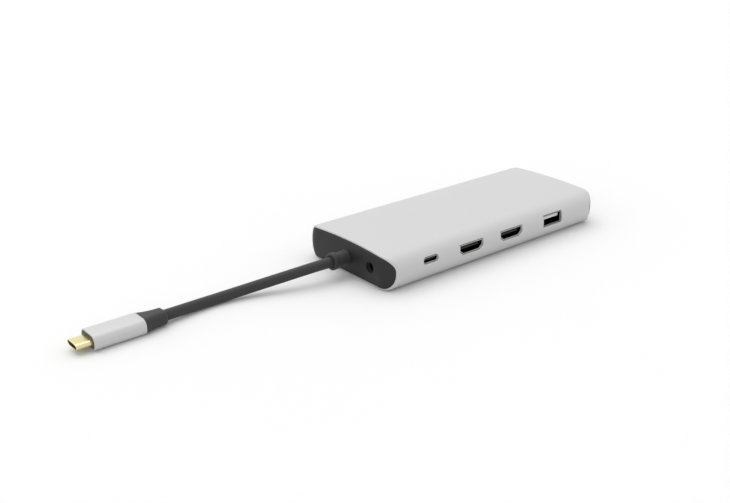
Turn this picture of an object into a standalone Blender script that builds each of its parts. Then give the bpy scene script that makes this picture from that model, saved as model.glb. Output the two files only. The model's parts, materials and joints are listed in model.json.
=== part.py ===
"""Laptop docking station: a slim aluminium housing full of ports, with a short fixed USB-C lead.

Metres, +Z up, X along the housing with the lead at -X, the front row of ports on -Y.
The origin is the middle of the flat underside. Lengths below are written in millimetres.
"""
import math

import bmesh
import bpy
from mathutils import Vector

MM = 0.001
GAP = 0.3                      # clearance between pieces that touch

# Housing: one extruded section, its ends trimmed to a plan with rounded corners
SLEEVE_LENGTH = 139.9
WIDTH = 60.3
HEIGHT = 17.3
CROWN = 0.8                    # rise of the top face at its middle
SIDE_DEPTH = 7.9               # how far the rounded sides reach in from the widest line
WIDEST_Z = 9.0
SIDE_POWER = 2.25              # exponent of the side's superellipse, 2 is an ellipse
PLAN_RADIUS = 8.3
END_BOW = 1.7                  # how far an end's top and bottom stand back from its middle
WALL = 1.0
CAP_PROUD = 0.3                # how far an end cap stands out of the sleeve
CAP_DEPTH = 7.0
CAP_WALL = 2.2

# Ports, centre positions along X and heights of their middles
FRONT_MOUTH_Y = -29.6          # USB-C and HDMI
USB_A_MOUTH_Y = 29.2           # on either side
USB_C_X = -45.5
HDMI_X = (-20.0, 6.6)
USB_A_FRONT_X = 36.2
USB_A_BACK_X = (-4.0, 17.0)
ETHERNET_X = 40.0
CARD_X = -35.0
USB_C_Z = 10.8
HDMI_Z = 9.9
USB_A_Z = 9.9
ETHERNET_Z = 9.0
ETHERNET_MOUTH_Y = 27.6
CARD_Z = 8.6
CARD_MOUTH_Y = 28.1
JACK_Y = -17.0
JACK_Z = 9.3

# Port sizes, width by height
USB_C_SHELL = (8.6, 2.7)
USB_C_DEPTH = 7.4
HDMI_SHELL = (14.5, 4.5)
HDMI_CHAMFER = (2.2, 1.8)
HDMI_DEPTH = 11.4
USB_A_SHELL = (12.9, 5.5)
USB_A_DEPTH = 14.0
ETHERNET_SHELL = (15.4, 10.6)
ETHERNET_CAVITY = (12.0, 8.8)
ETHERNET_DEPTH = 15.0
CARD_SLOT = (25.0, 2.6)
CARD_SHELL = (26.0, 3.0)
CARD_DEPTH = 26.0
SHEET = 0.3                    # wall of a port's metal shell
JACK_BORE = 1.8
JACK_RING = 2.4

# Board and what is on it
BOARD_X = (-57.0, 61.0)
BOARD_HALF_WIDTH = 24.5
BOARD_Z = (5.6, 6.8)
PART_Z = BOARD_Z[1] + GAP      # underside of everything that stands on the board
SCREW_PLACES = ((-52.0, 17.0), (28.0, 18.0), (55.0, -19.0), (-33.5, -19.0))
SCREW_HOLE = 1.2
SCREW_SHANK = 0.85
SCREW_HEAD = 1.9
BOSS_RADIUS = 2.6
CARRIER_Z = (WALL + GAP, 3.0)

# Lead and plug
LEAD_Z = 8.6
LEAD_RADIUS = 2.375
COLLAR_X = (-70.5, -78.6)      # base and mouth of the strain relief
COLLAR_RADII = (3.45, 4.0)
COLLAR_RECESS = 0.9
SHANK_RADIUS = 2.7
PLUG_Y = 9.4
PLUG_Z = 3.45
PLUG_TIP_X = -196.85
PLUG_FACE_X = -190.2
SLEEVE_END_X = -167.8
BOOT_END_X = -157.3
PLUG_SLEEVE = (12.0, 6.8)
PLUG_SHELL = (8.25, 2.4)
BOOT_END = (8.6, 6.4)
BOOT_RECESS = 0.9

# The lead's route: out of the collar, down to the surface, and up into the plug
ROUTE = (
    (-78.0, 0.0, 8.6), (-82.0, 0.1, 8.55), (-88.0, 0.9, 8.2), (-95.0, 2.55, 7.3),
    (-102.0, 4.7, 6.1), (-109.0, 6.9, 4.9), (-116.0, 8.85, 3.8), (-123.0, 10.3, 3.0),
    (-130.0, 11.1, 2.55), (-137.0, 11.2, 2.5), (-144.0, 10.7, 2.75), (-151.0, 9.9, 3.15),
    (-157.9, 9.4, 3.45),
)
LEAD_POINTS = 15


def clear_scene():
    """Remove every object, so that the script can be run again."""
    for thing in list(bpy.data.objects):
        bpy.data.objects.remove(thing, do_unlink=True)


def material(name, colour, roughness, metallic=0.0):
    """Return a Principled material of this linear colour, made once."""
    found = bpy.data.materials.get(name)
    if found:
        return found
    made = bpy.data.materials.new(name)
    made.use_nodes = True
    shader = made.node_tree.nodes["Principled BSDF"]
    shader.inputs["Base Color"].default_value = (*colour, 1.0)
    shader.inputs["Roughness"].default_value = roughness
    shader.inputs["Metallic"].default_value = metallic
    made.diffuse_color = (*colour, 1.0)
    return made


def finish(name, bm, finish_material, smooth=False):
    """Turn a bmesh in millimetres into a named object in metres."""
    bmesh.ops.recalc_face_normals(bm, faces=bm.faces)
    bmesh.ops.scale(bm, vec=Vector((MM, MM, MM)), verts=bm.verts)
    mesh = bpy.data.meshes.new(name)
    bm.to_mesh(mesh)
    bm.free()
    thing = bpy.data.objects.new(name, mesh)
    bpy.context.scene.collection.objects.link(thing)
    if finish_material:
        mesh.materials.append(finish_material)
    if smooth:
        mesh.shade_smooth()
        mesh.set_sharp_from_angle(angle=math.radians(35))
    return thing


def loft(name, rings, finish_material, closed=False, smooth=False):
    """Join rings of equally many points; the ends are capped unless the rings close on themselves."""
    bm = bmesh.new()
    loops = [[bm.verts.new(point) for point in ring] for ring in rings]
    count = len(loops[0])
    pairs = list(zip(loops, loops[1:]))
    if closed:
        pairs.append((loops[-1], loops[0]))
    for one, two in pairs:
        for i in range(count):
            j = (i + 1) % count
            bm.faces.new((one[i], one[j], two[j], two[i]))
    if not closed:
        bm.faces.new(loops[0])
        bm.faces.new(loops[-1])
    return finish(name, bm, finish_material, smooth)


def box(name, x, y, z, finish_material=None):
    """A plain block between the given limits."""
    outline = ((x[0], z[0]), (x[1], z[0]), (x[1], z[1]), (x[0], z[1]))
    rings = [along_y(outline, 0.0, 0.0, level) for level in y]
    return loft(name, rings, finish_material)


def lathe(name, profile, centre, finish_material, segments=24):
    """Turn a profile of (x, radius) points about a line along X through centre (y, z)."""
    bm = bmesh.new()
    rings = []
    for x, radius in profile:
        if radius == 0.0:
            rings.append([bm.verts.new((x, centre[0], centre[1]))])
            continue
        ring = []
        for i in range(segments):
            turn = 2.0 * math.pi * i / segments
            y = centre[0] + radius * math.cos(turn)
            z = centre[1] + radius * math.sin(turn)
            ring.append(bm.verts.new((x, y, z)))
        rings.append(ring)
    if profile[0][1] > 0.0:
        rings.append(rings[0])
    for one, two in zip(rings, rings[1:]):
        for i in range(segments):
            j = (i + 1) % segments
            if len(one) == 1:
                bm.faces.new((one[0], two[i], two[j]))
            elif len(two) == 1:
                bm.faces.new((one[i], one[j], two[0]))
            else:
                bm.faces.new((one[i], one[j], two[j], two[i]))
    return finish(name, bm, finish_material, smooth=True)


def cylinder_z(name, radius, x, y, z, finish_material=None, segments=20):
    """An upright cylinder at (x, y) from z[0] to z[1]."""
    rings = []
    for height in z:
        ring = []
        for i in range(segments):
            turn = 2.0 * math.pi * i / segments
            ring.append((x + radius * math.cos(turn), y + radius * math.sin(turn), height))
        rings.append(ring)
    return loft(name, rings, finish_material, smooth=True)


def boolean(target, tool, operation="DIFFERENCE"):
    """Cut target with tool, or join tool to it; the tool is only a guide."""
    tool.hide_render = True
    tool.display_type = "WIRE"
    step = target.modifiers.new(tool.name, "BOOLEAN")
    step.operation = operation
    step.solver = "EXACT"
    step.object = tool
    return target


# Outlines: lists of (a, b) points, placed in space by along_x or along_y

def rectangle(width, height):
    """A rectangle about its middle."""
    w, h = width / 2, height / 2
    return [(-w, -h), (w, -h), (w, h), (-w, h)]


def stadium(width, height, arc=8):
    """A rectangle whose two short sides are half circles, when width exceeds height."""
    radius = height / 2
    flat = width / 2 - radius
    points = []
    for side in (1, -1):
        for i in range(arc + 1):
            turn = -math.pi / 2 + math.pi * i / arc
            points.append((side * (flat + radius * math.cos(turn)), side * radius * math.sin(turn)))
    return points


def hdmi_outline(width, height, chamfer=HDMI_CHAMFER):
    """The HDMI outline: a rectangle with its two lower corners cut off."""
    w, h = width / 2, height / 2
    a, b = chamfer
    return [(-w + a, -h), (w - a, -h), (w, -h + b), (w, h), (-w, h), (-w, -h + b)]


def along_y(outline, x, z, y):
    """Place an outline in the plane of this y, its middle at x and z."""
    return [(x + a, y, z + b) for a, b in outline]


def along_x(outline, y, z, x):
    """Place an outline in the plane of this x, its middle at y and z."""
    return [(x, y + a, z + b) for a, b in outline]


# Housing

def section(inset, quarter=7, across=6):
    """The housing's section as (y, z) points, moved inwards by inset.

    Each side is two quarters of a superellipse about the widest line, and the top between them
    is a low parabola.
    """
    half = WIDTH / 2 - inset
    depth = SIDE_DEPTH - 0.6 * inset
    low = inset
    high = HEIGHT - CROWN - inset
    side = []
    for i in range(2 * quarter + 1):
        turn = -math.pi / 2 + math.pi * i / (2 * quarter)
        reach = math.cos(turn) ** (2 / SIDE_POWER) if i not in (0, 2 * quarter) else 0.0
        rise = abs(math.sin(turn)) ** (2 / SIDE_POWER)
        y = half - depth + depth * reach
        z = WIDEST_Z + (high - WIDEST_Z) * rise if turn > 0 else WIDEST_Z - (WIDEST_Z - low) * rise
        side.append((y, z))
    flat = half - depth
    top = []
    for i in range(1, across):
        y = flat * (1 - 2 * i / across)
        top.append((y, high + CROWN * (1 - (y / flat) ** 2)))
    other = [(-y, z) for y, z in reversed(side)]
    return side + top + other


def end_drop(y, z):
    """How far an end stands back here, from its rounded plan corner and its bow."""
    past = min(max(abs(y) - (WIDTH / 2 - PLAN_RADIUS), 0.0), PLAN_RADIUS)
    up = 2 * z / HEIGHT - 1
    return PLAN_RADIUS - math.sqrt(PLAN_RADIUS ** 2 - past ** 2) + END_BOW * up ** 2


def end_ring(inset, side):
    """One end's ring of the sleeve, side -1 at the lead and 1 at the far end."""
    return [(side * (SLEEVE_LENGTH / 2 - end_drop(y, z)), y, z) for y, z in section(inset)]


def port_cutters():
    """Openings through the housing's walls: name, outline, x, z and the side they are on."""
    margin = 2 * GAP
    cuts = [("cut_usb_c", stadium(USB_C_SHELL[0] + margin, USB_C_SHELL[1] + margin), USB_C_X, USB_C_Z, -1)]
    for i, x in enumerate(HDMI_X):
        outline = hdmi_outline(HDMI_SHELL[0] + margin, HDMI_SHELL[1] + margin)
        cuts.append((f"cut_hdmi_{i + 1}", outline, x, HDMI_Z, -1))
    usb_a = rectangle(USB_A_SHELL[0] + margin, USB_A_SHELL[1] + margin)
    cuts.append(("cut_usb_a_front", usb_a, USB_A_FRONT_X, USB_A_Z, -1))
    for i, x in enumerate(USB_A_BACK_X):
        cuts.append((f"cut_usb_a_back_{i + 1}", usb_a, x, USB_A_Z, 1))
    ethernet = rectangle(ETHERNET_SHELL[0] + margin, ETHERNET_SHELL[1] + margin)
    cuts.append(("cut_ethernet", ethernet, ETHERNET_X, ETHERNET_Z, 1))
    cuts.append(("cut_card", rectangle(*CARD_SLOT), CARD_X, CARD_Z, 1))
    return cuts


def build_sleeve():
    """The extruded aluminium sleeve, open at both ends, with the port openings cut through it."""
    metal = material("anodised_aluminium", (0.68, 0.68, 0.69), 0.42, 0.9)
    rings = [end_ring(0.0, -1), end_ring(0.0, 1), end_ring(WALL, 1), end_ring(WALL, -1)]
    sleeve = loft("housing_sleeve", rings, metal, closed=True, smooth=True)
    for name, outline, x, z, side in port_cutters():
        inner, outer = side * 18.0, side * 34.0
        cutter = loft(name, [along_y(outline, x, z, inner), along_y(outline, x, z, outer)], None)
        boolean(sleeve, cutter)


def face_blank(name, side):
    """A tall block whose outer face has the rounded plan and the bow of an end cap."""
    across = 28
    levels = 10
    reach = WIDTH / 2 - WALL - GAP
    outer = SLEEVE_LENGTH / 2 + CAP_PROUD
    inner = side * (outer - CAP_DEPTH)
    rings = []
    for k in range(levels + 1):
        z = -1.0 + (HEIGHT + 2.0) * k / levels
        ring = [(inner, reach, z), (inner, -reach, z)]
        for i in range(across + 1):
            y = -reach + 2 * reach * i / across
            ring.append((side * (outer - end_drop(y, z)), y, z))
        rings.append(ring)
    return loft(name, rings, None)


def build_cap(name, side):
    """A moulded end cap: a domed plate with a skirt that slides inside the sleeve."""
    plastic = material("moulded_charcoal_plastic", (0.035, 0.035, 0.036), 0.5)
    outer = SLEEVE_LENGTH / 2 + CAP_PROUD
    span = (side * (outer + 1.0), side * (outer - CAP_DEPTH))
    outline = section(WALL + GAP)
    cap = loft(name, [[(x, y, z) for y, z in outline] for x in span], plastic, smooth=True)
    boolean(cap, face_blank(f"face_{name}", side), "INTERSECT")
    pocket = section(WALL + GAP + 1.4)
    reach = (side * (outer - CAP_WALL - 1.6), side * (outer - CAP_DEPTH - 1.0))
    boolean(cap, loft(f"pocket_{name}", [[(x, y, z) for y, z in pocket] for x in reach], None))
    return cap


def build_cable_end_cap():
    """The cap at the lead, pierced for the strain relief and the audio jack."""
    cap = build_cap("cable_end_cap", -1)
    for name, radius, y, z in (
        ("hole_lead", SHANK_RADIUS + GAP, 0.0, LEAD_Z),
        ("hole_jack", JACK_RING + GAP, JACK_Y, JACK_Z),
    ):
        profile = ((-74.0, 0.0), (-74.0, radius), (-60.0, radius), (-60.0, 0.0))
        boolean(cap, lathe(name, profile, (y, z), None))


# Board and chassis

def build_carrier():
    """The tray under the board, with a boss below each screw."""
    plastic = material("chassis_plastic", (0.08, 0.08, 0.085), 0.6)
    carrier = box("board_carrier", (-58.0, 59.0), (-20.5, 20.5), CARRIER_Z, plastic)
    for i, (x, y) in enumerate(SCREW_PLACES):
        span = (CARRIER_Z[0] + 0.4, BOARD_Z[0] - GAP)
        boolean(carrier, cylinder_z(f"boss_{i + 1}", BOSS_RADIUS, x, y, span), "UNION")
    for i, (x, y) in enumerate(SCREW_PLACES):
        span = (CARRIER_Z[0] + 0.7, BOARD_Z[1])
        boolean(carrier, cylinder_z(f"boss_hole_{i + 1}", SCREW_HOLE, x, y, span))


def build_board():
    """The main board, notched for the ethernet jack and drilled for its screws."""
    laminate = material("board_laminate", (0.01, 0.06, 0.03), 0.45)
    board = box("main_board", BOARD_X, (-BOARD_HALF_WIDTH, BOARD_HALF_WIDTH), BOARD_Z, laminate)
    half = ETHERNET_SHELL[0] / 2 + GAP
    notch_y = (ETHERNET_MOUTH_Y - ETHERNET_DEPTH - GAP, BOARD_HALF_WIDTH + 2.0)
    boolean(board, box("notch", (ETHERNET_X - half, ETHERNET_X + half), notch_y, (4.0, 9.0)))
    for i, (x, y) in enumerate(SCREW_PLACES):
        boolean(board, cylinder_z(f"board_hole_{i + 1}", SCREW_HOLE, x, y, (4.0, 9.0)))


def build_screws():
    """Four small pan-head screws that hold the board on the carrier."""
    steel = material("zinc_plated_steel", (0.55, 0.55, 0.56), 0.35, 1.0)
    for i, (x, y) in enumerate(SCREW_PLACES):
        top = PART_Z + 1.3
        heights = ((SCREW_SHANK, 3.4), (SCREW_SHANK, PART_Z), (SCREW_HEAD, PART_Z), (SCREW_HEAD, top - 0.4),
                   (SCREW_HEAD - 0.5, top))
        rings = []
        for radius, z in heights:
            turns = [2.0 * math.pi * k / 20 for k in range(20)]
            rings.append([(x + radius * math.cos(t), y + radius * math.sin(t), z) for t in turns])
        loft(f"board_screw_{i + 1}", rings, steel, smooth=True)


def build_board_parts():
    """Chips and the other larger parts on the board."""
    black = material("chip_epoxy", (0.02, 0.02, 0.02), 0.55)
    ferrite = material("ferrite", (0.06, 0.06, 0.06), 0.7)
    can = material("tinned_can", (0.6, 0.6, 0.6), 0.3, 1.0)
    pad = material("thermal_pad_silicone", (0.3, 0.35, 0.45), 0.8)
    chips = (
        ("hub_controller", 0.0, 0.0, 9.0, 9.0, 1.0, black),
        ("display_controller", -13.5, 0.0, 8.0, 8.0, 1.0, black),
        ("ethernet_controller", 40.0, 4.0, 6.0, 6.0, 1.0, black),
        ("power_controller", -38.0, -5.0, 4.0, 4.0, 0.9, black),
        ("power_inductor", -46.0, -8.0, 6.2, 6.2, 3.0, ferrite),
        ("clock_crystal", 12.0, -9.0, 3.2, 2.5, 0.8, can),
    )
    for name, x, y, wide, deep, tall, finish_material in chips:
        limits = (x - wide / 2, x + wide / 2), (y - deep / 2, y + deep / 2), (PART_Z, PART_Z + tall)
        box(name, *limits, finish_material)
    cylinder_z("bulk_capacitor", 3.1, 22.0, -8.0, (PART_Z, PART_Z + 5.6), can, 24)
    pad_z = (PART_Z + 1.0 + GAP, PART_Z + 2.4)
    box("thermal_pad", (-18.5, 5.0), (-5.0, 5.0), pad_z, pad)
    build_heat_spreader(pad_z[1] + GAP)


def build_heat_spreader(low):
    """A folded aluminium sheet over the warm chips, its two legs standing on the board."""
    metal = material("bare_aluminium", (0.6, 0.6, 0.6), 0.4, 1.0)
    sheet = 0.8
    half = 7.5
    top = low + sheet
    outline = [(-half, PART_Z), (-half + sheet, PART_Z), (-half + sheet, low), (half - sheet, low),
               (half - sheet, PART_Z), (half, PART_Z), (half, top), (-half, top)]
    loft("heat_spreader", [[(x, y, z) for y, z in outline] for x in (-21.0, 8.0)], metal)


# Ports

def port_shell(name, outline, inner, x, z, mouth, depth, finish_material, floor=0.6):
    """A drawn metal cup: outer outline, inner outline, open at the mouth and shut at the back."""
    inwards = -1 if mouth > 0 else 1
    back = mouth + inwards * depth
    rings = [along_y(outline, x, z, back), along_y(outline, x, z, mouth),
             along_y(inner, x, z, mouth), along_y(inner, x, z, back - inwards * floor)]
    loft(name, rings, finish_material)


def tongue(name, x, z, size, span, finish_material):
    """The insulating tongue that carries a port's contacts, clear of the shell all round."""
    w, h = size[0] / 2, size[1] / 2
    box(name, (x - w, x + w), (min(span), max(span)), (z - h, z + h), finish_material)


def build_usb_c():
    """The USB-C receptacle, raised on a small riser board."""
    nickel = material("nickel_plated_steel", (0.62, 0.62, 0.6), 0.28, 1.0)
    black = material("contact_insulator", (0.015, 0.015, 0.015), 0.5)
    laminate = material("board_laminate", (0.01, 0.06, 0.03), 0.45)
    w, h = USB_C_SHELL
    outer, inner = stadium(w, h), stadium(w - 0.5, h - 0.5)
    port_shell("usb_c_shell", outer, inner, USB_C_X, USB_C_Z, FRONT_MOUTH_Y, USB_C_DEPTH, nickel)
    span = (FRONT_MOUTH_Y + 0.8, FRONT_MOUTH_Y + USB_C_DEPTH - 0.6 - GAP)
    tongue("usb_c_tongue", USB_C_X, USB_C_Z, (6.6, 0.7), span, black)
    top = USB_C_Z - h / 2 - GAP
    box("usb_c_riser", (USB_C_X - 5.0, USB_C_X + 5.0), (-27.0, -19.5), (PART_Z, top), laminate)


def build_hdmi():
    """The two HDMI receptacles."""
    nickel = material("nickel_plated_steel", (0.62, 0.62, 0.6), 0.28, 1.0)
    black = material("contact_insulator", (0.015, 0.015, 0.015), 0.5)
    w, h = HDMI_SHELL
    a, b = HDMI_CHAMFER
    outer = hdmi_outline(w, h)
    inner = hdmi_outline(w - 2 * SHEET, h - 2 * SHEET, (a - SHEET / 2, b - SHEET / 2))
    for i, x in enumerate(HDMI_X):
        port_shell(f"hdmi_{i + 1}_shell", outer, inner, x, HDMI_Z, FRONT_MOUTH_Y, HDMI_DEPTH, nickel)
        span = (FRONT_MOUTH_Y + 1.0, FRONT_MOUTH_Y + HDMI_DEPTH - 0.6 - GAP)
        tongue(f"hdmi_{i + 1}_tongue", x, HDMI_Z + 0.3, (11.0, 1.0), span, black)


def build_usb_a():
    """One USB-A receptacle at the front and two at the back."""
    nickel = material("nickel_plated_steel", (0.62, 0.62, 0.6), 0.28, 1.0)
    pale = material("usb_insulator", (0.64, 0.64, 0.64), 0.5)
    w, h = USB_A_SHELL
    outer, inner = rectangle(w, h), rectangle(w - 2 * SHEET, h - 2 * SHEET)
    places = [("usb_a_front", USB_A_FRONT_X, -USB_A_MOUTH_Y)]
    places += [(f"usb_a_back_{i + 1}", x, USB_A_MOUTH_Y) for i, x in enumerate(USB_A_BACK_X)]
    for name, x, mouth in places:
        inwards = -1 if mouth > 0 else 1
        port_shell(f"{name}_shell", outer, inner, x, USB_A_Z, mouth, USB_A_DEPTH, nickel)
        span = (mouth + inwards * 1.2, mouth + inwards * (USB_A_DEPTH - 0.6 - GAP))
        tongue(f"{name}_tongue", x, USB_A_Z + 1.0, (11.2, 1.7), span, pale)


def build_ethernet():
    """The ethernet jack: a shield round a cavity, and the contact insert at its back."""
    nickel = material("nickel_plated_steel", (0.62, 0.62, 0.6), 0.28, 1.0)
    black = material("contact_insulator", (0.015, 0.015, 0.015), 0.5)
    outer, inner = rectangle(*ETHERNET_SHELL), rectangle(*ETHERNET_CAVITY)
    place = ETHERNET_X, ETHERNET_Z, ETHERNET_MOUTH_Y
    port_shell("ethernet_shield", outer, inner, *place, ETHERNET_DEPTH, nickel, 1.0)
    floor = ETHERNET_MOUTH_Y - ETHERNET_DEPTH + 1.0 + GAP
    half = ETHERNET_CAVITY[0] / 2 - GAP, ETHERNET_CAVITY[1] / 2 - GAP
    limits_x = (ETHERNET_X - half[0], ETHERNET_X + half[0])
    limits_z = (ETHERNET_Z - half[1], ETHERNET_Z + half[1])
    box("ethernet_insert", limits_x, (floor, floor + 2.4), limits_z, black)


def build_card_reader():
    """The memory card reader: a flat metal cover, and the contact base deep inside it."""
    nickel = material("nickel_plated_steel", (0.62, 0.62, 0.6), 0.28, 1.0)
    black = material("contact_insulator", (0.015, 0.015, 0.015), 0.5)
    w, h = CARD_SHELL
    outer, inner = rectangle(w, h), rectangle(w - 2 * SHEET, h - 2 * SHEET)
    port_shell("card_reader_cover", outer, inner, CARD_X, CARD_Z, CARD_MOUTH_Y, CARD_DEPTH, nickel)
    deep = CARD_MOUTH_Y - CARD_DEPTH + 0.6 + GAP
    half = w / 2 - SHEET - GAP, h / 2 - SHEET - GAP
    limits = (CARD_X - half[0], CARD_X + half[0]), (deep, deep + 5.0), (CARD_Z - half[1], CARD_Z + half[1])
    box("card_reader_base", *limits, black)


def build_audio_jack():
    """The 3.5 mm audio jack behind the end cap, and the plated ring round its mouth."""
    black = material("contact_insulator", (0.015, 0.015, 0.015), 0.5)
    nickel = material("nickel_plated_steel", (0.62, 0.62, 0.6), 0.28, 1.0)
    back = -62.6
    body = box("audio_jack_body", (back, -52.0), (JACK_Y - 3.2, JACK_Y + 3.2), (PART_Z, 12.9), black)
    bore = ((-70.0, 0.0), (-70.0, JACK_BORE), (-53.0, JACK_BORE), (-53.0, 0.0))
    boolean(body, lathe("jack_bore", bore, (JACK_Y, JACK_Z), None))
    ring = ((-69.6, JACK_RING), (back - GAP, JACK_RING), (back - GAP, JACK_BORE),
            (-69.1, JACK_BORE), (-69.6, JACK_BORE + 0.3))
    lathe("audio_jack_ring", ring, (JACK_Y, JACK_Z), nickel)


# Lead

def smooth_route(points, count):
    """Read count points off a Catmull-Rom curve through the given points, evenly by length."""
    knots = [Vector(p) for p in points]
    padded = [2 * knots[0] - knots[1]] + knots + [2 * knots[-1] - knots[-2]]
    fine = []
    steps = 20
    for a, b, c, d in zip(padded, padded[1:], padded[2:], padded[3:]):
        for i in range(steps):
            t = i / steps
            fine.append(0.5 * (2 * b + (c - a) * t + (2 * a - 5 * b + 4 * c - d) * t ** 2
                               + (3 * b - a - 3 * c + d) * t ** 3))
    fine.append(knots[-1])
    travelled = [0.0]
    for one, two in zip(fine, fine[1:]):
        travelled.append(travelled[-1] + (two - one).length)
    chosen = []
    k = 0
    for i in range(count):
        target = travelled[-1] * i / (count - 1)
        while k < len(fine) - 2 and travelled[k + 1] < target:
            k += 1
        part = (target - travelled[k]) / (travelled[k + 1] - travelled[k])
        chosen.append(fine[k].lerp(fine[k + 1], min(max(part, 0.0), 1.0)))
    return chosen


def tube(name, points, radius, finish_material, resolution):
    """A round tube with shut ends along the given points."""
    curve = bpy.data.curves.new(name, "CURVE")
    curve.dimensions = "3D"
    curve.bevel_depth = radius * MM
    curve.bevel_resolution = resolution
    curve.use_fill_caps = True
    spline = curve.splines.new("POLY")
    spline.points.add(len(points) - 1)
    for knot, point in zip(spline.points, points):
        knot.co = (point[0] * MM, point[1] * MM, point[2] * MM, 1.0)
    curve.materials.append(finish_material)
    thing = bpy.data.objects.new(name, curve)
    bpy.context.scene.collection.objects.link(thing)


def build_strain_relief():
    """The turned collar outside the cap, with its shank through the cap."""
    rubber = material("lead_elastomer", (0.04, 0.04, 0.042), 0.55)
    base, mouth = COLLAR_X
    thin, wide = COLLAR_RADII
    profile = (
        (-59.8, 0.0), (-59.8, SHANK_RADIUS), (base, SHANK_RADIUS), (base, thin),
        (mouth + 1.6, wide - 0.15), (mouth + 0.7, wide), (mouth + 0.2, wide - 0.15), (mouth, wide - 0.45),
        (mouth, LEAD_RADIUS + 0.7), (mouth + COLLAR_RECESS, LEAD_RADIUS + 0.5),
        (mouth + COLLAR_RECESS, 0.0),
    )
    lathe("strain_relief", profile, (0.0, LEAD_Z), rubber, 28)


def build_cable_anchor():
    """The block inside the cap that grips the strain relief, and the lead's cores behind it."""
    plastic = material("chassis_plastic", (0.08, 0.08, 0.085), 0.6)
    copper = material("core_bundle", (0.35, 0.05, 0.04), 0.5)
    anchor = box("cable_anchor", (-65.4, -60.2), (-6.0, 6.0), (3.5, 13.4), plastic)
    radius = SHANK_RADIUS + GAP
    bore = ((-70.0, 0.0), (-70.0, radius), (-55.0, radius), (-55.0, 0.0))
    boolean(anchor, lathe("anchor_bore", bore, (0.0, LEAD_Z), None))
    cores = ((-59.5, 0.0, LEAD_Z), (-57.6, 0.0, 8.7), (-55.6, 0.0, 8.95), (-53.0, 0.0, 9.0),
             (-49.0, 0.0, 9.0))
    tube("cable_cores", cores, 1.5, copper, 2)


def build_cable():
    """The lead itself, from the collar's recess to the boot's recess."""
    rubber = material("lead_elastomer", (0.04, 0.04, 0.042), 0.55)
    tube("cable", smooth_route(ROUTE, LEAD_POINTS), LEAD_RADIUS, rubber, 3)


# Plug, coaxial with X at PLUG_Y and PLUG_Z

def plug_ring(size, x):
    """A stadium ring of the plug at this x."""
    return along_x(stadium(*size), PLUG_Y, PLUG_Z, x)


def build_plug():
    """The USB-C plug: aluminium sleeve, face insert, gilt shell, core, paddle board and boot."""
    metal = material("anodised_aluminium", (0.68, 0.68, 0.69), 0.42, 0.9)
    grey = material("moulded_grey_plastic", (0.12, 0.12, 0.11), 0.5)
    gilt = material("gold_plated_steel", (0.83, 0.69, 0.3), 0.25, 1.0)
    black = material("contact_insulator", (0.015, 0.015, 0.015), 0.5)
    laminate = material("board_laminate", (0.01, 0.06, 0.03), 0.45)
    w, h = PLUG_SLEEVE
    bore = (w - 1.2, h - 1.2)
    fill = (bore[0] - 2 * GAP, bore[1] - 2 * GAP)
    rings = [plug_ring(PLUG_SLEEVE, PLUG_FACE_X), plug_ring(PLUG_SLEEVE, SLEEVE_END_X),
             plug_ring(bore, SLEEVE_END_X), plug_ring(bore, PLUG_FACE_X)]
    loft("plug_sleeve", rings, metal, closed=True, smooth=True)

    around_shell = (PLUG_SHELL[0] + 2 * GAP, PLUG_SHELL[1] + 2 * GAP)
    face = (PLUG_FACE_X + 0.6, PLUG_FACE_X + 2.0)
    rings = [plug_ring(fill, face[0]), plug_ring(fill, face[1]),
             plug_ring(around_shell, face[1]), plug_ring(around_shell, face[0])]
    loft("plug_face_insert", rings, grey, closed=True, smooth=True)

    inside = (PLUG_SHELL[0] - 0.5, PLUG_SHELL[1] - 0.5)
    shell_back = PLUG_FACE_X + 4.0
    rings = [plug_ring(PLUG_SHELL, PLUG_TIP_X), plug_ring(PLUG_SHELL, shell_back),
             plug_ring(inside, shell_back), plug_ring(inside, PLUG_TIP_X)]
    loft("plug_shell", rings, gilt, closed=True, smooth=True)
    core = (inside[0] - 2 * GAP, inside[1] - 2 * GAP)
    rings = [plug_ring(core, PLUG_TIP_X + 4.6), plug_ring(core, shell_back)]
    loft("plug_core", rings, black, smooth=True)

    board_x = (shell_back + GAP, shell_back + 8.0)
    box("plug_board", board_x, (PLUG_Y - 4.2, PLUG_Y + 4.2), (PLUG_Z - 0.4, PLUG_Z + 0.4), laminate)
    mould = (board_x[1] + GAP, SLEEVE_END_X - GAP)
    loft("plug_inner_mould", [plug_ring(fill, mould[0]), plug_ring(fill, mould[1])], grey, smooth=True)


def build_boot():
    """The plug's boot: it narrows from the sleeve to an oval end that takes the lead."""
    rubber = material("lead_elastomer", (0.04, 0.04, 0.042), 0.55)
    start = SLEEVE_END_X + GAP
    sizes = []
    steps = 6
    big = (PLUG_SLEEVE[0] - 0.3, PLUG_SLEEVE[1] - 0.1)
    for i in range(steps + 1):
        t = i / steps
        ease = 1 - (1 - t) ** 2.2
        sizes.append((start + (BOOT_END_X - 0.7 - start) * t,
                      (big[0] + (BOOT_END[0] - big[0]) * ease, big[1] + (BOOT_END[1] - big[1]) * ease)))
    sizes.append((BOOT_END_X - 0.2, (BOOT_END[0] - 0.3, BOOT_END[1] - 0.3)))
    sizes.append((BOOT_END_X, (BOOT_END[0] - 0.9, BOOT_END[1] - 0.9)))
    mouth = 2 * (LEAD_RADIUS + 0.3)
    sizes.append((BOOT_END_X, (mouth + 0.01, mouth)))
    sizes.append((BOOT_END_X - BOOT_RECESS, (mouth + 0.01, mouth)))
    loft("plug_boot", [plug_ring(size, x) for x, size in sizes], rubber, smooth=True)


def main():
    """Build the whole docking station."""
    clear_scene()
    build_sleeve()
    build_cable_end_cap()
    build_cap("far_end_cap", 1)
    build_carrier()
    build_board()
    build_screws()
    build_board_parts()
    build_usb_c()
    build_hdmi()
    build_usb_a()
    build_ethernet()
    build_card_reader()
    build_audio_jack()
    build_strain_relief()
    build_cable_anchor()
    build_cable()
    build_plug()
    build_boot()


main()
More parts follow.
